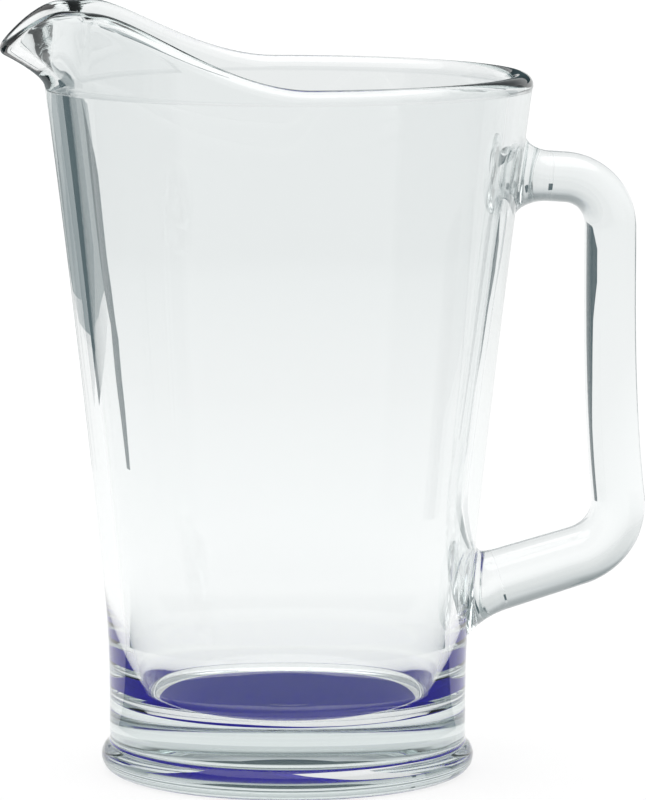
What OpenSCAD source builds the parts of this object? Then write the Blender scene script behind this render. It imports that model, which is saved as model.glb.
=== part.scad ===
/* [Vessel] */
// Height of the plain rim above the table
rim_h = 208; // [170:1:250]
// Outside diameter of the rim
rim_d = 144; // [126:1:170]
// Thickness of the rounded rim
rim_t = 7; // [5.5:0.1:8.5]
// Outside diameter of the straight band above the foot
band_d = 106; // [96:1:120]
// Height at which the straight band begins to lean outward
knee_low = 24; // [18:1:40]
// Height at which the lean of the wall is set
knee_high = 54; // [46:1:80]
// Lean of the wall at the rim as a multiple of its lean above the knee
bell = 1.37; // [1:0.01:1.8]
// Thickness of the side wall
wall_t = 5; // [4:0.1:7]
// Height of the drinking floor above the table
floor_h = 20.3; // [14:0.1:28]
// Height of the long taper that thickens the wall toward the base
taper_h = 25; // [15:1:35]
// Lean of the taper's lower end from the upright
taper_lean = 12; // [9:0.5:18]
// Radius of the curve that turns from the taper in to the floor
heel_r = 12; // [8:0.5:18]
// Lean of this curve from the upright where it meets the floor
heel_lean = 50; // [35:1:70]
// Diameter of the round mark that the plunger leaves in the floor
mark_d = 42; // [30:1:54]
// Depth of the plunger mark
mark_depth = 0.4; // [0.2:0.1:1]

/* [Foot] */
// Distance that the foot stands out past the band
foot_step = 2.4; // [1.4:0.1:4.6]
// Radius of the foot's rounded edge
foot_edge_r = 4.7; // [4:0.1:6]
// Depth of the crease between the foot and the band
crease_depth = 0.3; // [0.1:0.1:1]
// Width of the flat ring that the pitcher stands on
land_w = 3; // [2.5:0.1:6]
// Depth of the recess under the base
recess_depth = 2; // [1.6:0.1:5]
// Slope of the recess wall from the upright
recess_slope = 20; // [10:1:45]

/* [Spout] */
// Distance that the spout's tip stands out past the rim
spout_reach = 13; // [8:0.2:18]
// Rise of the spout's two shoulders above the rim
shoulder_rise = 19.8; // [13:0.2:26]
// Rise of the spout's tip above the rim
tip_rise = 9.6; // [6:0.2:12]
// Thickness of the lip at the tip
tip_t = 4.4; // [3.5:0.1:6]
// Slope of the lip at the tip above the level
tip_slope = 27; // [20:1:50]
// Angle from the spout at which the rim begins to rise
rise_from = 91; // [80:1:110]
// Angle from the spout at which the shoulders stand highest
shoulder_at = 30; // [26:1:40]
// Half angle over which the rim is drawn out to the beak
beak_half = 26; // [20:1:34]
// Half angle of the dip between the shoulders at the tip
dip_half = 20; // [12:1:25]

/* [Handle] */
// Distance from the rim's outside out to the middle of the grip
grip_out = 23.8; // [22:0.2:36]
// Distance from the rim down to the upper arm
arm_drop = 31; // [24:0.5:44]
// Droop of the upper arm
arm_droop = 4; // [0:0.5:10]
// Height at which the grip turns in to the lower arm
grip_low = 81.5; // [76:0.5:96]
// Distance that the grip sweeps outward toward its lower end
grip_sweep = 3; // [0:0.1:5]
// Radius of the handle's upper corner along its middle
upper_corner_r = 14.6; // [11:0.2:18]
// Radius of the handle's lower corner along its middle
lower_corner_r = 17; // [11:0.2:18]
// Rise of the lower arm from the wall to the grip
arm_slope = 16.6; // [8:0.2:24]
// Thickness of the handle at the upper arm
handle_t = 14.8; // [12:0.2:17]
// Thickness of the handle at the lower arm
handle_low_t = 17.8; // [14:0.2:20]
// Width of the grip across the hand
grip_w = 20; // [16:0.5:24]
// Width of the arms where they meet their pads
arm_w = 22; // [18:0.5:26]

/* [Handle pads] */
// Length of a pad from the wall to the arm's end
pad_len = 9; // [6:0.5:11]
// Distance that a pad spreads on the wall past the arm
pad_spread = 6.4; // [3:0.2:8]

/* [Colour coat] */
// Thickness of the colour coat under the base
coat_t = 0.5; // [0.3:0.1:1]
// Bare margin between the coat's edge and the recess wall
coat_margin = 5.4; // [0.4:0.1:8]

/* [Hidden] */

// Fineness of round faces
round_fn = 128;
// Fineness of the outline curves, and of the lip, handle and pad skins
curve_steps = 12;
lip_steps = 120;
lip_curve_steps = 5;
lip_edge_steps = 6;
corner_steps = 9;
grip_steps = 10;
arm_steps = 3;
section_steps = 24;
pad_steps = 6;
cap_steps = 4;

// Share of the lip's rings drawn together toward the spout
lip_crowding_share = 0.6;
// Length of each guide of the lip's two curves as a share of the curve's span
guide_share = [0.15, 0.45];
// Fullness of the handle's section, where 2 is an ellipse
fullness = 2.6;

// Step of the seam where the rim's mould sat on the body's mould
seam_step = 0.15;
// Upright skirt below the rim's rounding, down to that seam
rim_skirt = 0.3;
// Depth that the rim reaches into the wall below it
seam_lap = 0.2;
// Height over which the wall thickens inward to the rim
throat_h = 60;
// Height of the short slope from the crease up to the band
crease_h = 1.2;
// Joint between a pad and the wall
joint_gap = 0.2;
// Thickness of a pad's edge on the wall
pad_edge = 0.5;
// Overrun of cuts
overrun = 1;

glass = [0.80, 0.87, 0.89, 0.55];
coat_violet = [0.24, 0.19, 0.52];

rim_r = rim_d / 2;
grip_x = rim_r + grip_out;
arm_h = rim_h - arm_drop;
rim_in_r = rim_r - rim_t;
band_r = band_d / 2;
foot_r = band_r + foot_step;
edge_r = rim_t / 2;
tip_r = tip_t / 2;
seam_z = rim_h - edge_r - rim_skirt;
land_out_r = foot_r - foot_edge_r;
land_in_r = land_out_r - land_w;
recess_r = land_in_r - recess_depth * tan(recess_slope);
crease_r = band_r - crease_depth;
crease_angle = acos((crease_r - land_out_r) / foot_edge_r);
crease_z = foot_edge_r * (1 + sin(crease_angle));

// Wall: a straight band, a knee and a bell, each a parabola with its middle guide at half height
knee_span = knee_high - knee_low;
bell_span = seam_z - knee_high;
wall_top_r = rim_r - seam_step;
lean = 2 * (wall_top_r - band_r) / (knee_span + bell_span * (1 + bell));
knee_r = band_r + lean * knee_span / 2;
bell_mid_r = knee_r + lean * bell_span / 2;

function clamp(v, low, high) = max(low, min(high, v));
function smooth(t) = let (c = clamp(t, 0, 1)) c * c * (3 - 2 * c);
function mix(a, b, t) = a + (b - a) * t;
function bow(a, b, c, t) = mix(mix(a, b, t), mix(b, c, t), t);
function cubic(a, b, c, d, t) = mix(bow(a, b, c, t), bow(b, c, d, t), t);
function arc(centre, r, from, to, steps) =
    [for (i = [0:steps]) let (a = mix(from, to, i / steps)) centre + r * [cos(a), sin(a)]];

// Outside radius of the wall at a height
function wall_r(z) =
    z < knee_low ? band_r :
    z < knee_high ? bow(band_r, band_r, knee_r, (z - knee_low) / knee_span) :
    bow(knee_r, bell_mid_r, wall_top_r, (z - knee_high) / bell_span);
function wall_lean(z) =
    z < knee_high ? lean * clamp((z - knee_low) / knee_span, 0, 1) :
    mix(lean, lean * bell, (z - knee_high) / bell_span);

// Faces of a skin of closed rings that all have the same number of points
function skin_faces(rings, sides) = [
    for (i = [0:rings - 2], j = [0:sides - 1])
        let (a = i * sides + j, b = i * sides + (j + 1) % sides, c = b + sides, d = a + sides)
            each [[a, c, b], [a, d, c]]
];
function flat_list(rings) = [for (ring = rings) each ring];

// Lip: every ring is the upright section of the rim at one angle from the spout
lip_angle = function (i) let (t = 360 * i / lip_steps) t - lip_crowding_share * sin(t) * 180 / PI;
function from_spout(a) = a > 180 ? 360 - a : a;
function beak(a) = 1 - smooth(from_spout(a) / beak_half);
function dip(a) = 1 - smooth(from_spout(a) / dip_half);
function lip_rise(a) =
    shoulder_rise * smooth((rise_from - from_spout(a)) / (rise_from - shoulder_at))
    - (shoulder_rise - tip_rise) * dip(a);
function lip_section(a) =
    let (
        b = beak(a),
        r = mix(edge_r, tip_r, b),
        centre = [mix(rim_r - edge_r, rim_r + spout_reach - tip_r, b), rim_h + lip_rise(a) - r],
        slope = mix(90, tip_slope, b),
        along = [cos(slope), sin(slope)],
        out = centre + r * [sin(slope), -cos(slope)],
        back = centre - r * [sin(slope), -cos(slope)],
        out_foot = [rim_r, seam_z],
        in_foot = [rim_in_r, seam_z],
        up = [0, 1],
        out_span = norm(out - out_foot),
        in_span = norm(back - in_foot)
    )
    concat(
        [[rim_r, seam_z - seam_lap]],
        [for (i = [0:lip_curve_steps - 1]) cubic(out_foot, out_foot + up * out_span * guide_share[0],
            out - along * out_span * guide_share[1], out, i / lip_curve_steps)],
        arc(centre, r, slope - 90, slope + 90, lip_edge_steps),
        [for (i = [lip_curve_steps - 1:-1:0]) cubic(in_foot, in_foot + up * in_span * guide_share[0],
            back - along * in_span * guide_share[1], back, i / lip_curve_steps)],
        [[rim_in_r, seam_z - seam_lap]]
    );

module lip() {
    rings = [for (i = [0:lip_steps]) let (a = lip_angle(i % lip_steps))
        [for (p = lip_section(a)) [-p[0] * cos(a), p[0] * sin(a), p[1]]]];
    sides = len(rings[0]);
    count = lip_steps * sides;
    faces = [for (f = skin_faces(lip_steps + 1, sides)) [for (v = f) v % count]];
    polyhedron([for (i = [0:lip_steps - 1]) each rings[i]], faces);
}

// Body: foot, band and wall turned in one piece, with the cavity and the recess, and the lip on top
module wall_outline() {
    polygon(concat(
        [[0, recess_depth], [recess_r, recess_depth], [land_in_r, 0]],
        arc([land_out_r, foot_edge_r], foot_edge_r, -90, crease_angle, curve_steps),
        [[band_r, crease_z + crease_h]],
        [for (i = [0:curve_steps]) let (z = knee_low + knee_span * i / curve_steps) [wall_r(z), z]],
        [for (i = [1:curve_steps]) let (z = knee_high + bell_span * i / curve_steps) [wall_r(z), z]],
        [[0, seam_z]]
    ));
}

// Cavity: a flat floor, a tight heel, a long taper that leaves the heel and joins the wall without a bend
module cavity_outline() {
    heel_z = floor_h + heel_r * (sin(heel_lean) - sin(taper_lean));
    taper_z = heel_z + taper_h;
    taper_r = wall_r(taper_z) - wall_t;
    taper_mid_r = taper_r - taper_h / 2 * wall_lean(taper_z);
    heel_top_r = taper_mid_r - taper_h / 2 * tan(taper_lean);
    heel_centre = [heel_top_r, heel_z] - heel_r * [cos(taper_lean), -sin(taper_lean)];
    throat_z = seam_z - throat_h;
    polygon(concat(
        [[0, floor_h - mark_depth], [mark_d / 2 - mark_depth, floor_h - mark_depth], [mark_d / 2, floor_h]],
        arc(heel_centre, heel_r, -heel_lean, -taper_lean, curve_steps),
        [for (i = [1:curve_steps]) let (t = i / curve_steps)
            [bow(heel_top_r, taper_mid_r, taper_r, t), mix(heel_z, taper_z, t)]],
        [for (i = [1:curve_steps]) let (z = mix(taper_z, throat_z, i / curve_steps)) [wall_r(z) - wall_t, z]],
        [[rim_in_r + seam_step, seam_z], [rim_in_r + seam_step, seam_z + overrun], [0, seam_z + overrun]]
    ));
}

module body() {
    color(glass) union() {
        rotate_extrude($fn = round_fn) difference() {
            wall_outline();
            cavity_outline();
        }
        lip();
    }
}

// Handle: its middle line lies in the plane of the spout, and its two ends are flat faces on the pads
upper_end = [wall_r(arm_h) + pad_len, arm_h];
upper_turn_x = grip_x - upper_corner_r;
upper_start_x = upper_turn_x + upper_corner_r * sin(arm_droop);
upper_start_z = arm_h - (upper_start_x - upper_end[0]) * tan(arm_droop);
upper_turn = [upper_turn_x, upper_start_z - upper_corner_r * cos(arm_droop)];
grip_span = upper_turn[1] - grip_low;
grip_tilt = atan(3 * grip_sweep / grip_span);
grip_end = [grip_x + grip_sweep, grip_low];
lower_turn = grip_end - lower_corner_r * [cos(grip_tilt), sin(grip_tilt)];
lower_start = lower_turn + lower_corner_r * [sin(arm_slope), -cos(arm_slope)];

// Distance back along an arm, from a point on it, at which the wall and its joint are met
function to_wall(point, y, along, tries = 8, s = 0) =
    let (
        z = point[1] + s * along[1],
        r = wall_r(z) + joint_gap,
        met = (sqrt(r * r - y * y) - point[0]) / along[0]
    )
    tries == 0 ? met : to_wall(point, y, along, tries - 1, met);

lower_along = [cos(arm_slope), sin(arm_slope)];
lower_end = lower_start + (to_wall(lower_start, 0, lower_along) + pad_len) * lower_along;

function handle_line() = concat(
    [for (i = [0:arm_steps - 1]) concat(
        mix(upper_end, [upper_start_x, upper_start_z], i / arm_steps), -arm_droop)],
    [for (i = [0:corner_steps - 1]) let (a = mix(90 - arm_droop, 0, i / corner_steps))
        concat(upper_turn + upper_corner_r * [cos(a), sin(a)], a - 90)],
    [for (i = [0:grip_steps - 1]) let (t = i / grip_steps)
        [grip_x + grip_sweep * pow(t, 3), upper_turn[1] - grip_span * t, atan(3 * grip_sweep * t * t / grip_span) - 90]],
    [for (i = [0:corner_steps - 1]) let (a = mix(grip_tilt, arm_slope - 90, i / corner_steps))
        concat(lower_turn + lower_corner_r * [cos(a), sin(a)], a - 90)],
    [for (i = [0:arm_steps]) concat(mix(lower_start, lower_end, i / arm_steps), arm_slope - 180)]
);

// Points of the handle's section, as [across the hand, in the handle's plane]
function bulge(v) = sign(v) * pow(abs(v), 2 / fullness);
function section(w, t) =
    [for (j = [0:section_steps - 1]) let (a = 360 * j / section_steps)
        [bulge(cos(a)) * w / 2, bulge(sin(a)) * t / 2]];
function place(point, turn, p) =
    [point[0] - p[1] * sin(turn), p[0], point[1] + p[1] * cos(turn)];

module handle() {
    line = handle_line();
    last = len(line) - 1;
    rings = [for (i = [0:last]) let (u = i / last, ends = pow(2 * u - 1, 2))
        [for (p = section(mix(grip_w, arm_w, ends), mix(handle_t, handle_low_t, pow(u, 3))))
            place(line[i], line[i][2], p)]];
    start_cap = [for (j = [0:section_steps - 1]) j];
    end_cap = [for (j = [section_steps - 1:-1:0]) last * section_steps + j];
    color(glass) polyhedron(flat_list(rings), concat([start_cap], skin_faces(last + 1, section_steps), [end_cap]));
}

// Pad: a flared foot of glass from the wall to the flat end of an arm
function spread_at(t) = pad_spread * (1 - sqrt(1 - pow(1 - t, 2)));
module pad(end, turn, t) {
    along = [cos(turn), sin(turn)];
    edge = pad_edge / pad_len;
    on_wall = function (p) let (q = place(end, turn, p)) to_wall([q[0], q[2]], q[1], along);
    at = function (p, s) place(end + s * along, turn, p);
    wall_section = section(arm_w + 2 * spread_at(edge), t + 2 * spread_at(edge));
    cap = [for (i = [1:cap_steps - 1])
        [for (p = wall_section) let (q = p * i / cap_steps) at(q, on_wall(q))]];
    flare = [for (i = [0:pad_steps]) let (u = i / pad_steps, spread = spread_at(mix(edge, 1, u)))
        [for (p = section(arm_w + 2 * spread, t + 2 * spread)) at(p, on_wall(p) * (1 - u))]];
    rings = concat(cap, flare);
    sides = section_steps;
    hub = len(rings) * sides;
    first_cap = [for (j = [0:sides - 1]) [hub, j, (j + 1) % sides]];
    end_cap = [for (j = [1:sides]) hub - j];
    polyhedron(
        concat(flat_list(rings), [at([0, 0], on_wall([0, 0]))]),
        concat(first_cap, skin_faces(len(rings), sides), [end_cap])
    );
}

module upper_handle_pad() {
    color(glass) pad(upper_end, -arm_droop, handle_t);
}

module lower_handle_pad() {
    color(glass) pad(lower_end, arm_slope, handle_low_t);
}

// Colour coat: a thin violet disc on the flat ceiling of the recess under the base
module base_colour_coat() {
    color(coat_violet) translate([0, 0, recess_depth - coat_t])
        cylinder(h = coat_t, r = recess_r - coat_margin, $fn = round_fn);
}

body();
handle();
upper_handle_pad();
lower_handle_pad();
base_colour_coat();
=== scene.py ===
import math

import bmesh
import bpy
from mathutils import Matrix, Vector


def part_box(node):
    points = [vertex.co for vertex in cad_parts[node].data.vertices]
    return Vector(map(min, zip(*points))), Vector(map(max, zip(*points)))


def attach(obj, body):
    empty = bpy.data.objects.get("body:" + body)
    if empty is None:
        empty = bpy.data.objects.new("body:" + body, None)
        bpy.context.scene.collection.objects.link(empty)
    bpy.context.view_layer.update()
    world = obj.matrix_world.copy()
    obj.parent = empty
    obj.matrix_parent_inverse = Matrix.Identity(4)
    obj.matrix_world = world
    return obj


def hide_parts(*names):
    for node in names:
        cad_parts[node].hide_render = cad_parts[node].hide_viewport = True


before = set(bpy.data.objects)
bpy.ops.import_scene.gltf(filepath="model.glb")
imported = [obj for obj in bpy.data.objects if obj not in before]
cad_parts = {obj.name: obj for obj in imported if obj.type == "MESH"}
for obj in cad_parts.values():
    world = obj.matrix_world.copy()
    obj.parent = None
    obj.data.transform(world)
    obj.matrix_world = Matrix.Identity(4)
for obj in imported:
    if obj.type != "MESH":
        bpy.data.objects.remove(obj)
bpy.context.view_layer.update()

# Body: the vessel of the pitcher, of clear soda-lime glass pressed in one go in an iron mould. The foot,
# the heavy base, the leaning wall, the rim and the pouring spout are one piece, and fire polishing rounds
# its edges.
MM = 0.001

body_low, body_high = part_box("body")
rim_r = body_high[1]
rim_h = 208 * MM
rim_t = 7 * MM
rim_skirt = 0.3 * MM
seam_step = 0.15 * MM
throat_h = 90 * MM
band_r = 53 * MM
knee_low = 24 * MM
knee_high = 54 * MM
bell = 1.37
wall_t = 5 * MM
floor_h = 20.3 * MM
taper_h = 25 * MM
taper_lean = math.radians(12)
heel_r = 12 * MM
heel_lean = math.radians(50)
heel_clear = 0.2 * MM
floor_corner_r = 1.2 * MM
mark_r = 21 * MM
mark_depth = 0.15 * MM
mark_soft = 3 * MM
foot_flare = 2.4 * MM
foot_edge_r = 4.7 * MM
crease_depth = 0.3 * MM
crease_h = 1.2 * MM
crease_turn = 0.25
land_w = 3 * MM
recess_depth = 2 * MM
recess_slope = math.radians(20)
recess_soft_r = 0.8 * MM
coat_low, coat_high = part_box("base_colour_coat")
coat_r = coat_high[0]
spout_reach = -body_low[0] - rim_r
shoulder_rise = body_high[2] - rim_h
tip_rise = 9.6 * MM
tip_t = 4.4 * MM
tip_slope = math.radians(27)
rise_from = math.radians(91)
shoulder_at = math.radians(30)
beak_half = math.radians(26)
dip_half = math.radians(20)

body_columns = 264
spout_crowding = 0.6
recess_shares = (0, 0.3, 0.6)
soft_steps = 5
crease_steps = 8
crease_guide = 0.7
band_steps = 4
knee_steps = 8
wall_steps = 26
throat_steps = 24
lip_guides = (0.15, 0.45)
lip_curve_steps = 9
lip_edge_steps = 14
arc_steps = 14
heel_steps = 20
floor_corner_steps = 8
floor_steps = 40
level_slack = 0.001 * MM

foot_r = band_r + foot_flare
crease_r = band_r - crease_depth
edge_r = rim_t / 2
tip_r = tip_t / 2
rim_in_r = rim_r - rim_t
seam_z = rim_h - edge_r - rim_skirt
throat_z = seam_z - throat_h
wall_top_r = rim_r - seam_step
knee_span = knee_high - knee_low
bell_span = seam_z - knee_high
lean = 2 * (wall_top_r - band_r) / (knee_span + bell_span * (1 + bell))
knee_r = band_r + lean * knee_span / 2
bell_mid_r = knee_r + lean * bell_span / 2

# Levels close under the seam keep the bend of the smooth shading there short.
below_seam = [seam_z - steps * seam_step for steps in (8, 5, 3)]

scene = bpy.context.scene


def mix(a, b, t):
    return a + (b - a) * t


def smooth(t):
    t = min(max(t, 0), 1)
    return t * t * (3 - 2 * t)


def bow(a, b, c, t):
    return mix(mix(a, b, t), mix(b, c, t), t)


def cubic(a, b, c, d, t):
    return mix(bow(a, b, c, t), bow(b, c, d, t), t)


def shares(steps):
    return [i / steps for i in range(steps + 1)]


def arc(centre, r, start, end, steps):
    angles = [mix(start, end, t) for t in shares(steps)]
    return [centre + r * Vector((math.cos(a), math.sin(a))) for a in angles]


def wall_r(z):
    """The outside's radius at a height: the straight band, the knee and the bell-shaped lean above it."""
    if z < knee_low:
        return band_r
    if z < knee_high:
        return bow(band_r, band_r, knee_r, (z - knee_low) / knee_span)
    return bow(knee_r, bell_mid_r, wall_top_r, (z - knee_high) / bell_span)


def rounded_corner(before, corner, after, r, steps):
    """Points of a small curve in place of the corner between two straight runs of an outline."""
    back = (before - corner).normalized()
    on = (after - corner).normalized()
    half = back.angle(on) / 2
    reach = r / math.tan(half)
    return [bow(corner + back * reach, corner, corner + on * reach, t) for t in shares(steps)]


def under_outline():
    """From the middle of the underside over the recess, the land and the foot's rounding up to the band."""
    land_out_r = foot_r - foot_edge_r
    land_in_r = land_out_r - land_w
    recess_r = land_in_r - recess_depth * math.tan(recess_slope)
    centre = Vector((0, recess_depth))
    ceiling = Vector((recess_r, recess_depth))
    land_in = Vector((land_in_r, 0))
    land_out = Vector((land_out_r, 0))
    crease = math.acos((crease_r - land_out_r) / foot_edge_r)
    crease_z = foot_edge_r * (1 + math.sin(crease))
    points = [mix(centre, ceiling, t) for t in recess_shares + (coat_r / recess_r,)]
    points += rounded_corner(centre, ceiling, land_in, recess_soft_r, soft_steps)
    points += rounded_corner(ceiling, land_in, land_out, recess_soft_r, soft_steps)
    foot_middle = Vector((land_out_r, foot_edge_r))
    points += arc(foot_middle, foot_edge_r, -math.pi / 2, crease - crease_turn, arc_steps)
    foot_top = points[-1]
    crease_low = Vector((crease_r, crease_z))
    band_low = Vector((band_r, crease_z + crease_h))
    band_up = Vector((band_r, crease_z + 3 * crease_h))
    guide = mix(crease_low, band_low, crease_guide)
    points += [cubic(foot_top, crease_low, guide, band_up, t) for t in shares(crease_steps)[1:]]
    return points


def outer_wall():
    """From the band up the knee and the leaning wall to just under the seam."""
    start = under_outline()[-1].y
    levels = [mix(start, knee_low, t) for t in shares(band_steps)[1:]]
    levels += [mix(knee_low, knee_high, t) for t in shares(knee_steps)[1:]]
    levels += [mix(knee_high, below_seam[0], t) for t in shares(wall_steps)[1:]]
    levels += below_seam[1:]
    return [Vector((wall_r(z), z)) for z in levels]


def lip_section(angle):
    """The rim cut upright at an angle from the spout: up its outside, over the edge and down its inside."""
    beak = 1 - smooth(angle / beak_half)
    dip = 1 - smooth(angle / dip_half)
    rise = shoulder_rise * smooth((rise_from - angle) / (rise_from - shoulder_at))
    rise -= (shoulder_rise - tip_rise) * dip
    r = mix(edge_r, tip_r, beak)
    centre = Vector((mix(rim_r - edge_r, rim_r + spout_reach - tip_r, beak), rim_h + rise - r))
    slope = mix(math.pi / 2, tip_slope, beak)
    along = Vector((math.cos(slope), math.sin(slope)))
    across = Vector((math.sin(slope), -math.cos(slope)))
    upright = Vector((0, 1))

    def side(foot, end):
        span = (end - foot).length
        guides = foot + upright * span * lip_guides[0], end - along * span * lip_guides[1]
        return [cubic(foot, *guides, end, t) for t in shares(lip_curve_steps)]

    outside = side(Vector((rim_r, seam_z)), centre + r * across)
    inside = side(Vector((rim_in_r, seam_z)), centre - r * across)
    edge = arc(centre, r, slope - math.pi / 2, slope + math.pi / 2, lip_edge_steps)
    return outside + edge[1:-1] + inside[::-1]


def inner_wall_r(z):
    """The inside's radius at a height: the wall thickens smoothly through the throat to the rim."""
    throat = smooth((z - throat_z) / throat_h)
    return wall_r(z) - mix(wall_t, rim_t - 2 * seam_step, throat)


def inside_outline():
    """From the seam down the inside of the wall, round the heel and over the floor to its middle."""
    heel_z = floor_h + heel_r * (math.sin(heel_lean) - math.sin(taper_lean))
    taper_z = heel_z + taper_h
    taper_top = Vector((wall_r(taper_z) - wall_t, taper_z))
    wall_lean = lean * (taper_z - knee_low) / knee_span
    taper_mid = taper_top - taper_h / 2 * Vector((wall_lean, 1))
    heel_top = taper_mid - taper_h / 2 * Vector((math.tan(taper_lean), 1))
    levels = [below_seam[2], below_seam[1]]
    levels += [mix(below_seam[0], throat_z, t) for t in shares(throat_steps)]
    levels += [mix(throat_z, taper_z, t) for t in shares(wall_steps)[1:-1]]
    points = [Vector((inner_wall_r(z), z)) for z in levels]
    points += [bow(taper_top, taper_mid, heel_top, t) for t in shares(arc_steps)[:-1]]
    heel_centre = heel_top - heel_r * Vector((math.cos(taper_lean), -math.sin(taper_lean)))
    heel = arc(heel_centre, heel_r, -taper_lean, -heel_lean, heel_steps)
    middle = Vector((0, floor_h))
    corner = rounded_corner(heel[-2], heel[-1], middle, floor_corner_r, floor_corner_steps)
    points += [p for p in heel if p.y > corner[0].y + heel_clear] + corner
    floor_edge = corner[-1]
    for t in shares(floor_steps)[1:]:
        r = floor_edge.x * (1 - t)
        mark = mark_depth * smooth((mark_r - r) / mark_soft + 0.5)
        points.append(Vector((r, mix(floor_h, floor_edge.y, (r / floor_edge.x) ** 2) - mark)))
    return points


def piece(name, points, faces, sharp_angle=math.radians(50)):
    """A closed mesh with its normals outward, smooth but for edges that turn more than the given angle."""
    mesh = bpy.data.meshes.new(name)
    mesh.from_pydata(points, [], faces)
    shell = bmesh.new()
    shell.from_mesh(mesh)
    bmesh.ops.recalc_face_normals(shell, faces=shell.faces)
    shell.to_mesh(mesh)
    shell.free()
    mesh.shade_smooth()
    mesh.set_sharp_from_angle(angle=sharp_angle)
    made = bpy.data.objects.new(name, mesh)
    scene.collection.objects.link(made)
    return made


def glass_body():
    """The outline turned about the axis, with its columns closer together toward the spout."""
    low = under_outline()[1:] + outer_wall()
    high = inside_outline()
    points = [Vector((0, 0, recess_depth)), Vector((0, 0, high[-1].y))]
    columns = []
    for i in range(body_columns):
        turn = 2 * math.pi * i / body_columns
        a = turn - spout_crowding * math.sin(turn)
        outline = low + lip_section(min(a, 2 * math.pi - a)) + high[:-1]
        columns.append(range(len(points), len(points) + len(outline)))
        points += [Vector((-p.x * math.cos(a), p.x * math.sin(a), p.y)) for p in outline]
    faces = []
    for i in range(body_columns):
        here, beside = columns[i - 1], columns[i]
        faces.append((0, here[0], beside[0]))
        faces += [(here[k], here[k + 1], beside[k + 1], beside[k]) for k in range(len(here) - 1)]
        faces.append((here[-1], 1, beside[-1]))
    made = piece("glass_body", points, faces)
    for face in made.data.polygons:
        heights = [made.data.vertices[v].co.z for v in face.vertices]
        level = all(abs(z - recess_depth) < level_slack for z in heights)
        face.material_index = int(level and face.center.xy.length < coat_r)
    return made


def linear(hex_colour):
    """An sRGB hex colour as linear red, green, blue and full alpha."""
    parts = [int(hex_colour[i:i + 2], 16) / 255 for i in (1, 3, 5)]
    return tuple(c / 12.92 if c <= 0.04045 else ((c + 0.055) / 1.055) ** 2.4 for c in parts) + (1,)


def node(tree, kind, inputs=None, **settings):
    """A shader node with its settings, and with each input set to a value or linked to a socket."""
    made = tree.nodes.new("ShaderNode" + kind)
    for key, value in settings.items():
        setattr(made, key, value)
    for socket, value in (inputs or {}).items():
        if isinstance(value, bpy.types.NodeSocket):
            tree.links.new(value, made.inputs[socket])
        else:
            made.inputs[socket].default_value = value
    return made


def material(name):
    made = bpy.data.materials.new(name)
    made.use_nodes = True
    made.node_tree.nodes.clear()
    return made


# Clear soda-lime glass, pressed and fire polished: a faint wave from the mould, a grey-green tint that shows
# only where the eye looks through a long run of glass, and dull wear where the foot rubs on tables. The wear
# is drawn coarser than real scratches, so that it shows.
wave_mm = 26
wear_mm = 1.5
soda_lime_glass = material("soda_lime_glass_pressed")
tree = soda_lime_glass.node_tree
place = node(tree, "TexCoord").outputs["Object"]
wave = node(tree, "TexNoise", {"Vector": place, "Scale": 1 / (wave_mm * MM), "Detail": 1.0})
bump = node(tree, "Bump", {"Height": wave.outputs["Fac"], "Strength": 0.25, "Distance": 0.06 * MM})
rub = node(tree, "TexNoise", {"Vector": place, "Scale": 1 / (wear_mm * MM), "Detail": 3.0})
height = node(tree, "SeparateXYZ", {"Vector": place}).outputs["Z"]
near_table = node(tree, "MapRange", {
    "Value": height, "From Min": 0.2 * MM, "From Max": 1.2 * MM, "To Min": 0.3, "To Max": 0.0})
wear = node(tree, "Math", {0: rub.outputs["Fac"], 1: near_table.outputs["Result"]}, operation="MULTIPLY")
glass = node(tree, "BsdfPrincipled", {
    "Base Color": linear("#fcfdfd"), "Roughness": wear.outputs["Value"], "IOR": 1.52,
    "Transmission Weight": 1.0, "Normal": bump.outputs["Normal"]})
tint = node(tree, "VolumeAbsorption", {"Color": linear("#d6e1e0"), "Density": 8.0})
node(tree, "OutputMaterial", {"Surface": glass.outputs["BSDF"], "Volume": tint.outputs["Volume"]})

# The same glass where the lacquer wets it: light passes at steep angles and is thrown back only where it
# grazes. The IOR is the small step that is left from lacquer to glass.
lacquered_glass = soda_lime_glass.copy()
lacquered_glass.name = "soda_lime_glass_lacquered"
lacquered_glass.node_tree.nodes["Principled BSDF"].inputs["IOR"].default_value = 1.02

body = glass_body()
body.data.materials.append(soda_lime_glass)
body.data.materials.append(lacquered_glass)
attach(body, "root")
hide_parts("body")

# Handle: a bar of the same glass drawn hot and bent to a loop, with a nearly level arm above, an upright grip
# that sweeps out a little and a thicker arm that slopes back down to the wall.
grip_out = 23.79 * MM
arm_drop = 31 * MM
arm_droop = math.radians(4)
arm_slope = math.radians(16.6)
grip_low = 81.5 * MM
grip_sweep = 3 * MM
upper_corner_r = 14.6 * MM
lower_corner_r = 17 * MM
handle_t = 14.8 * MM
handle_low_t = 17.8 * MM
grip_w = 20 * MM
arm_w = 22 * MM
fullness = 2.6
pad_len = 9 * MM
fused_gap = 0.03 * MM

section_sides = 72
arm_steps = 10
corner_steps = 26
grip_steps = 30
wall_rounds = 12

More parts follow.
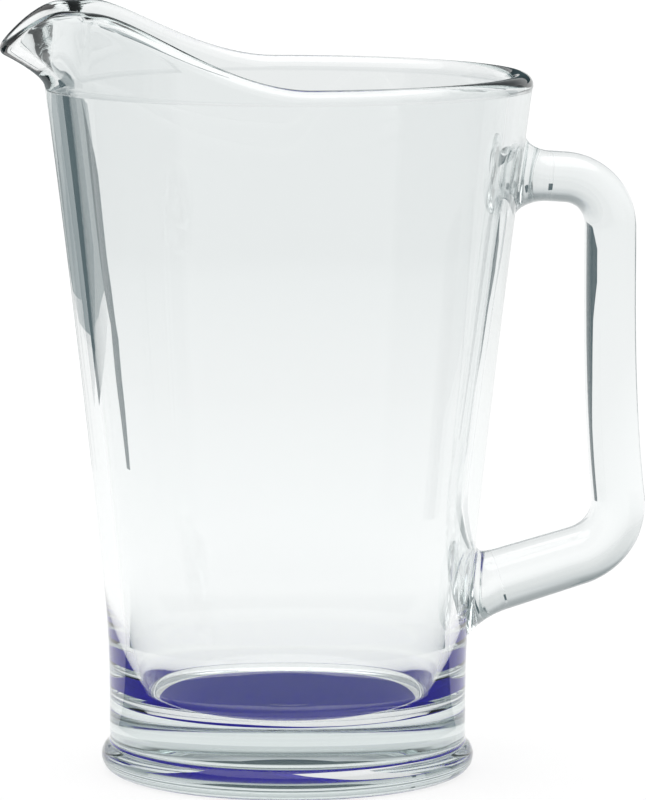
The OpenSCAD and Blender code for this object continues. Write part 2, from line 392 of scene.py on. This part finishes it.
grip_x = rim_r + grip_out
arm_h = rim_h - arm_drop
upper_end = Vector((wall_r(arm_h) + pad_len, arm_h))
upper_turn_x = grip_x - upper_corner_r
upper_start_x = upper_turn_x + upper_corner_r * math.sin(arm_droop)
upper_start = Vector((upper_start_x, arm_h - (upper_start_x - upper_end.x) * math.tan(arm_droop)))
upper_turn = Vector((upper_turn_x, upper_start.y - upper_corner_r * math.cos(arm_droop)))
grip_span = upper_turn.y - grip_low
grip_tilt = math.atan(3 * grip_sweep / grip_span)
grip_end = Vector((grip_x + grip_sweep, grip_low))
lower_turn = grip_end - lower_corner_r * Vector((math.cos(grip_tilt), math.sin(grip_tilt)))
lower_start = lower_turn + lower_corner_r * Vector((math.sin(arm_slope), -math.cos(arm_slope)))
lower_along = Vector((math.cos(arm_slope), math.sin(arm_slope)))


def to_wall(point, y, along):
    """Distance along a direction in the handle's plane, from a point at y across it, to just off the wall."""
    met = 0
    for _ in range(wall_rounds):
        r = wall_r(point.y + met * along.y) + fused_gap
        met = (math.sqrt(r * r - y * y) - point.x) / along.x
    return met


lower_end = lower_start + (to_wall(lower_start, 0, lower_along) + pad_len) * lower_along


def handle_line():
    """The handle's middle line, as its points and the direction of travel at each."""
    line = [(mix(upper_end, upper_start, t), -arm_droop) for t in shares(arm_steps)[:-1]]
    for t in shares(corner_steps)[:-1]:
        a = mix(math.pi / 2 - arm_droop, 0, t)
        line.append((upper_turn + upper_corner_r * Vector((math.cos(a), math.sin(a))), a - math.pi / 2))
    for t in shares(grip_steps)[:-1]:
        tilt = math.atan(3 * grip_sweep * t * t / grip_span)
        point = Vector((grip_x + grip_sweep * t ** 3, upper_turn.y - grip_span * t))
        line.append((point, tilt - math.pi / 2))
    for t in shares(corner_steps)[:-1]:
        a = mix(grip_tilt, arm_slope - math.pi / 2, t)
        line.append((lower_turn + lower_corner_r * Vector((math.cos(a), math.sin(a))), a - math.pi / 2))
    return line + [(mix(lower_start, lower_end, t), arm_slope - math.pi) for t in shares(arm_steps)]


def section(wide, thick):
    """The bar's section as [across the hand, in the handle's plane]: an oval fuller than an ellipse."""
    power = 2 / fullness
    points = []
    for j in range(section_sides):
        a = 2 * math.pi * j / section_sides
        c, s = math.cos(a), math.sin(a)
        across = math.copysign(abs(c) ** power, c) * wide / 2
        in_plane = math.copysign(abs(s) ** power, s) * thick / 2
        points.append(Vector((across, in_plane)))
    return points


def stand(point, turn, p):
    """A point of a section, set square to the direction of travel at a point of the handle's plane."""
    return Vector((point.x - p.y * math.sin(turn), p.x, point.y + p.y * math.cos(turn)))


def tube(name, rings, start_hub=None):
    """A closed skin over rings of points, with flat ends or, at the start, a fan to a hub."""
    sides = len(rings[0])
    points = [p for ring in rings for p in ring]
    faces = []
    for i in range(len(rings) - 1):
        low, high = i * sides, (i + 1) * sides
        faces += [(low + j, low + (j + 1) % sides, high + (j + 1) % sides, high + j) for j in range(sides)]
    if start_hub is None:
        faces.append(tuple(range(sides)))
    else:
        points.append(start_hub)
        faces += [(len(points) - 1, j, (j + 1) % sides) for j in range(sides)]
    faces.append(tuple(range(len(rings) * sides - sides, len(rings) * sides)))
    return piece(name, points, faces)


line = handle_line()
rings = []
for i, (point, turn) in enumerate(line):
    u = i / (len(line) - 1)
    oval = section(mix(grip_w, arm_w, (2 * u - 1) ** 2), mix(handle_t, handle_low_t, u ** 3))
    rings.append([stand(point, turn, p) for p in oval])
handle = tube("glass_handle", rings)
handle.data.materials.append(soda_lime_glass)
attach(handle, "root")
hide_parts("handle")

# Handle pads: the two flared feet of glass where the hot bar was pressed on the wall and fused to it. Each
# runs from the flat end of an arm and spreads in a hollow curve to a thin edge on the wall.
pad_spread = 6.4 * MM
pad_edge = 0.5 * MM
pad_steps = 22
cap_steps = 10


def handle_pad(name, end, turn, thick):
    """Rings from a hub over the wall to the pad's thin edge, then in along its hollow curve to the arm."""
    along = Vector((math.cos(turn), math.sin(turn)))
    edge = pad_edge / pad_len

    def flared_oval(u):
        spread = pad_spread * (1 - math.sqrt(1 - (1 - u) ** 2))
        return section(arm_w + 2 * spread, thick + 2 * spread)

    def on_wall(p):
        q = stand(end, turn, p)
        return to_wall(Vector((q.x, q.z)), q.y, along)

    wall_oval = flared_oval(edge)
    rings = []
    for k in range(1, cap_steps):
        cap = [p * k / cap_steps for p in wall_oval]
        rings.append([stand(end + on_wall(p) * along, turn, p) for p in cap])
    for t in shares(pad_steps):
        u = t * t * (2 - t)
        reach = 1 - u
        oval = flared_oval(mix(edge, 1, u))
        rings.append([stand(end + (on_wall(p) * reach - fused_gap * u) * along, turn, p) for p in oval])
    middle = Vector((0, 0))
    return tube(name, rings, stand(end + on_wall(middle) * along, turn, middle))


upper_pad = handle_pad("upper_glass_pad", upper_end, -arm_droop, handle_t)
lower_pad = handle_pad("lower_glass_pad", lower_end, arm_slope, handle_low_t)
for pad, cad_node in ((upper_pad, "upper_handle_pad"), (lower_pad, "lower_handle_pad")):
    pad.data.materials.append(soda_lime_glass)
    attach(pad, "root")
    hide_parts(cad_node)

# Colour coat: a violet lacquer sprayed and baked in the recess under the base, so that the heavy base above
# it takes its colour. Its edge runs short over a stretch at the front right.
coat_gap = 0.02 * MM
coat_edge_r = 0.2 * MM
coat_short = 5 * MM
short_from, short_over = math.radians(243), math.radians(54)
full_from, full_over = math.radians(318), math.radians(20)
coat_columns = 180
coat_rings = (0.25, 0.5, 0.75)
coat_low_edge = 0.97
coat_high_edge = 0.998


def coat_edge(a):
    """The coat's reach at an angle: it falls evenly to its shortest and comes back in a soft curve."""
    short = min(max((a - short_from) / short_over, 0), 1)
    return coat_r - coat_short * (short - smooth((a - full_from) / full_over))


coat_bottom = coat_low[2]
coat_top = coat_high[2] - coat_gap
coat_outline = [(t, coat_bottom) for t in coat_rings + (coat_low_edge,)]
coat_outline += [(1, coat_bottom + coat_edge_r), (1, coat_high[2] - coat_edge_r)]
coat_outline += [(t, coat_top) for t in (coat_high_edge,) + coat_rings[::-1]]
points = [Vector((0, 0, coat_bottom)), Vector((0, 0, coat_top))]
faces = []
count = len(coat_outline)
for i in range(coat_columns):
    a = 2 * math.pi * i / coat_columns
    out = Vector((math.cos(a), math.sin(a), 0)) * coat_edge(a)
    points += [out * t + Vector((0, 0, z)) for t, z in coat_outline]
    here, beside = 2 + i * count, 2 + (i + 1) % coat_columns * count
    faces.append((0, here, beside))
    faces += [(here + k, here + k + 1, beside + k + 1, beside + k) for k in range(count - 1)]
    faces.append((1, here + count - 1, beside + count - 1))
coat = piece("base_colour_coat_disc", points, faces)

# Violet lacquer, sprayed and baked against the glass: even, with a slight mottle from the spray, and with no
# shine of its own where the glass lies on it.
mottle_mm = 4
violet_lacquer = material("violet_lacquer_baked")
tree = violet_lacquer.node_tree
place = node(tree, "TexCoord").outputs["Object"]
mottle = node(tree, "TexNoise", {"Vector": place, "Scale": 1 / (mottle_mm * MM), "Detail": 3.0})
shade = node(tree, "Mix", {
    "Factor": mottle.outputs["Fac"], 6: linear("#4837ee"), 7: linear("#5140f6")}, data_type="RGBA")
dull = node(tree, "MapRange", {"Value": mottle.outputs["Fac"], "To Min": 0.25, "To Max": 0.4})
lacquer = node(tree, "BsdfPrincipled", {
    "Base Color": shade.outputs[2], "Roughness": dull.outputs["Result"], "IOR": 1.5,
    "Specular IOR Level": 0.0})
node(tree, "OutputMaterial", {"Surface": lacquer.outputs["BSDF"]})
coat.data.materials.append(violet_lacquer)
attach(coat, "root")
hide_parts("base_colour_coat")

# Table: a plain white table top that the pitcher stands on. It is white to the camera and keeps the pitcher's
# shadow. The glass sees it turn grey with distance: painted shade, darker away from the pitcher.
table_reach = 6000 * MM
table_gap = 0.02 * MM
table_glow = 0.8
table_far = 2000 * MM
white = linear("#ffffff")


def stops(ramp, tones):
    """Gives a colour ramp its stops, as positions and hex colours."""
    while len(ramp.color_ramp.elements) < len(tones):
        ramp.color_ramp.elements.new(1.0)
    for k, (position, colour) in enumerate(tones):
        ramp.color_ramp.elements[k].position = position
        ramp.color_ramp.elements[k].color = linear(colour)


floor_mesh = bpy.data.meshes.new("floor")
table_corners = [(x * table_reach, y * table_reach, 0) for x, y in ((-1, -1), (1, -1), (1, 1), (-1, 1))]
floor_mesh.from_pydata(table_corners, [], [(0, 1, 2, 3)])
floor = bpy.data.objects.new("floor", floor_mesh)
floor.location.z = -table_gap
scene.collection.objects.link(floor)

# White matt table top: it takes the soft shadow and otherwise melts into the white behind it.
white_table = material("white_table")
tree = white_table.node_tree
path = node(tree, "LightPath").outputs
through = node(tree, "Math", {
    0: path["Is Transmission Ray"], 1: path["Is Glossy Ray"]}, operation="MAXIMUM").outputs[0]
seen = node(tree, "Math", {0: through, 1: path["Is Camera Ray"]}, operation="MAXIMUM").outputs[0]
share = node(tree, "Math", {0: seen, 1: table_glow}, operation="MULTIPLY").outputs[0]
place = node(tree, "TexCoord").outputs["Object"]
out = node(tree, "VectorMath", {0: place}, operation="LENGTH").outputs["Value"]
# Painted shade: as the glass sees it, the table greys with distance from the pitcher.
far_share = node(tree, "MapRange", {"Value": out, "From Max": table_far}).outputs["Result"]
far = node(tree, "ValToRGB", {"Fac": far_share})
stops(far, (
    (0.16, "#ffffff"), (0.275, "#f8f9f9"), (0.45, "#eff0f0"), (0.88, "#e8eaea"), (1.0, "#e3e5e5")))
tone = node(tree, "Mix", {"Factor": through, 6: white, 7: far.outputs["Color"]}, data_type="RGBA")
matt = node(tree, "BsdfDiffuse", {"Color": linear("#f4f4f4")})
glow = node(tree, "Emission", {"Color": tone.outputs[2], "Strength": 1.0})
table = node(tree, "MixShader", {0: share, 1: matt.outputs[0], 2: glow.outputs[0]})
node(tree, "OutputMaterial", {"Surface": table.outputs[0]})
floor.data.materials.append(white_table)

# Cards: sheets of dark and grey card set up round the pitcher, which draw the dark edges that clear glass
# shows, and a grey ring of painted shade laid on the table in front. They are seen only in the glass. Sizes
# and places are in mm across the view, away from it and up.
look_aside = math.radians(5.0)
aside = Vector((math.cos(look_aside), -math.sin(look_aside), 0))
away = Vector((math.sin(look_aside), math.cos(look_aside), 0))
slate, grey, front_shade_grey, side_grey = "#4c5d62", "#a6afb1", "#8a9496", "#9aa3a5"

# Each upright card has its name, its colour, its distance behind the pitcher's axis and its outline.
upright_cards = (
    ("left_edge_card", slate, 200, (
        (-87, 58), (-87, 82), (-88, 107), (-90, 112), (-94, 127), (-98, 137), (-102, 150), (-105, 162),
        (-109, 167), (-117, 172), (-128, 178), (-118, 150), (-106, 124), (-98, 112), (-96, 82), (-92, 58))),
    ("left_middle_card", grey, 201, ((-96, 130), (-130, 112), (-222, 92), (-222, 178), (-115, 178))),
    ("left_far_card", slate, 200, ((-222, 56), (-450, 56), (-450, 178), (-222, 178))),
    ("grip_card", slate, 60, (
        (113, 150), (113, 140), (120, 128), (124, 110), (130, 95), (133, 72), (145, 72), (145, 168),
        (125, 160))),
    ("far_card", slate, 4000, (
        (-1900, 730), (-900, 430), (900, 430), (1900, 730), (900, 1030), (-900, 1030))))

# The front shade lies on the table as an open ring: painted shade that darkens the table in front of the
# pitcher where the glass mirrors it. The side cards stand along both sides of the view.
front_in, front_out, front_up = 110, 290, 0.5
front_from, front_to = math.radians(-205), math.radians(25)
front_steps = 24
front_fade = 180, 285
side_out, side_near, side_far, side_top = 600, -250, 800, 450
side_fade = 380
mirror_cards = ("front_painted_shade", "far_card", "left_side_card", "right_side_card")


def stage_point(x, y, z):
    """A point given in mm across the view, away from it and up."""
    return aside * x * MM + away * y * MM + Vector((0, 0, z * MM))


cards = [
    (name, colour, [stage_point(x, behind, z) for x, z in outline])
    for name, colour, behind, outline in upright_cards]
turns = [mix(front_from, front_to, t) for t in shares(front_steps)]
open_ring = [(front_out, a) for a in turns] + [(front_in, a) for a in turns[::-1]]
# Painted shade on the table: a grey open ring in front of the pitcher, seen only where the glass mirrors the
# table.
cards.append(("front_painted_shade", front_shade_grey, [
    stage_point(r * math.cos(a), r * math.sin(a), front_up) for r, a in open_ring]))
for name, x in (("left_side_card", -side_out), ("right_side_card", side_out)):
    corners = (side_near, 0), (side_far, 0), (side_far, side_top), (side_near, side_top)
    cards.append((name, side_grey, [stage_point(x, y, z) for y, z in corners]))

# Matt card, evenly lit: a flat tone without shine. The front ring of painted shade fades outward and the side
# cards downward, so that their images end softly. Four of the sheets, the painted front shade among them, are
# clear to light that no glass has mirrored.
for name, colour, outline in cards:
    card_mesh = bpy.data.meshes.new(name)
    card_mesh.from_pydata(outline, [], [tuple(range(len(outline)))])
    card = bpy.data.objects.new(name, card_mesh)
    scene.collection.objects.link(card)
    card.visible_camera = False
    card.visible_diffuse = False
    card.visible_shadow = False
    matt_card = material(name)
    tree = matt_card.node_tree
    surface = node(tree, "Emission", {"Color": linear(colour), "Strength": 1.0}).outputs[0]
    clear = node(tree, "BsdfTransparent").outputs[0]
    # The painted front shade fades out toward its outer edge.
    if name == "front_painted_shade":
        place = node(tree, "TexCoord").outputs["Object"]
        out = node(tree, "VectorMath", {0: place}, operation="LENGTH").outputs["Value"]
        fade = node(tree, "MapRange", {
            "Value": out, "From Min": front_fade[0] * MM, "From Max": front_fade[1] * MM},
            interpolation_type="SMOOTHSTEP").outputs["Result"]
        surface = node(tree, "MixShader", {0: fade, 1: surface, 2: clear}).outputs[0]
    if name.endswith("side_card"):
        place = node(tree, "TexCoord").outputs["Object"]
        height = node(tree, "SeparateXYZ", {"Vector": place}).outputs["Z"]
        fade = node(tree, "MapRange", {
            "Value": height, "From Max": side_fade * MM}, interpolation_type="SMOOTHSTEP").outputs["Result"]
        surface = node(tree, "MixShader", {0: fade, 1: clear, 2: surface}).outputs[0]
    if name in mirror_cards:
        mirrored = node(tree, "LightPath").outputs["Glossy Depth"]
        surface = node(tree, "MixShader", {0: mirrored, 1: clear, 2: surface}).outputs[0]
    node(tree, "OutputMaterial", {"Surface": surface})
    card.data.materials.append(matt_card)

# Studio: a plain white room with a soft light overhead. Seen through the glass or mirrored in it, the room
# dims upward to the edge of that light. To the camera and to matt surfaces it is white.
overhead_from, overhead_to = 46, 54
overhead_strength = 2.0
room_tones = (
    (-90, "#ebeded"), (0, "#ebeded"), (6, "#e8eaea"), (14, "#d4d8d9"), (20, "#a4aaac"), (28, "#8c9496"),
    (overhead_from, "#868e90"), (overhead_to, "#ffffff"))
world = bpy.data.worlds.new("studio")
world.use_nodes = True
world.node_tree.nodes.clear()
tree = world.node_tree
path = node(tree, "LightPath").outputs
through = node(tree, "Math", {
    0: path["Is Transmission Ray"], 1: path["Is Glossy Ray"]}, operation="MAXIMUM").outputs[0]
in_glass = node(tree, "Math", {
    0: through, 1: path["Diffuse Depth"]}, operation="SUBTRACT", use_clamp=True).outputs[0]
way = node(tree, "TexCoord").outputs["Generated"]
height = node(tree, "SeparateXYZ", {"Vector": way}).outputs["Z"]
height_share = node(tree, "MapRange", {"Value": height, "From Min": -1.0}).outputs["Result"]
room = node(tree, "ValToRGB", {"Fac": height_share})
stops(room, [(math.sin(math.radians(degrees)) / 2 + 0.5, colour) for degrees, colour in room_tones])
tone = node(tree, "Mix", {"Factor": in_glass, 6: white, 7: room.outputs["Color"]}, data_type="RGBA")
overhead = node(tree, "MapRange", {
    "Value": height, "From Min": math.sin(math.radians(overhead_from)),
    "From Max": math.sin(math.radians(overhead_to)), "To Min": 1.0, "To Max": overhead_strength})
tent = node(tree, "Background", {"Color": tone.outputs[2], "Strength": overhead.outputs["Result"]})
node(tree, "OutputWorld", {"Surface": tent.outputs[0]})
scene.world = world

# Camera: a long lens nearly two metres off and a little above the rim, turned a few degrees about the
# pitcher, so that the spout comes slightly toward it.
camera_place = (-149.2 * MM, -1823.9 * MM, 348.4 * MM)
camera_lens = 280.3
camera_sensor = 36
look_down = math.radians(7.40)
look_roll = math.radians(0.15)
camera_data = bpy.data.cameras.new("camera")
camera_data.sensor_fit = "VERTICAL"
camera_data.sensor_height = camera_sensor
camera_data.lens = camera_lens
camera_data.clip_end = 20
camera = bpy.data.objects.new("camera", camera_data)
scene.collection.objects.link(camera)
camera.location = camera_place
camera.rotation_euler = (
    Matrix.Rotation(-look_aside, 3, "Z") @ Matrix.Rotation(math.pi / 2 - look_down, 3, "X")
    @ Matrix.Rotation(look_roll, 3, "Z")).to_euler()
scene.camera = camera
scene.view_settings.view_transform = "Standard"

# Light runs a long way inside a rounded glass edge before it comes out, so its path is followed further.
glass_bounces = 18
scene.cycles.max_bounces = glass_bounces
scene.cycles.transmission_bounces = glass_bounces
scene.cycles.glossy_bounces = glass_bounces
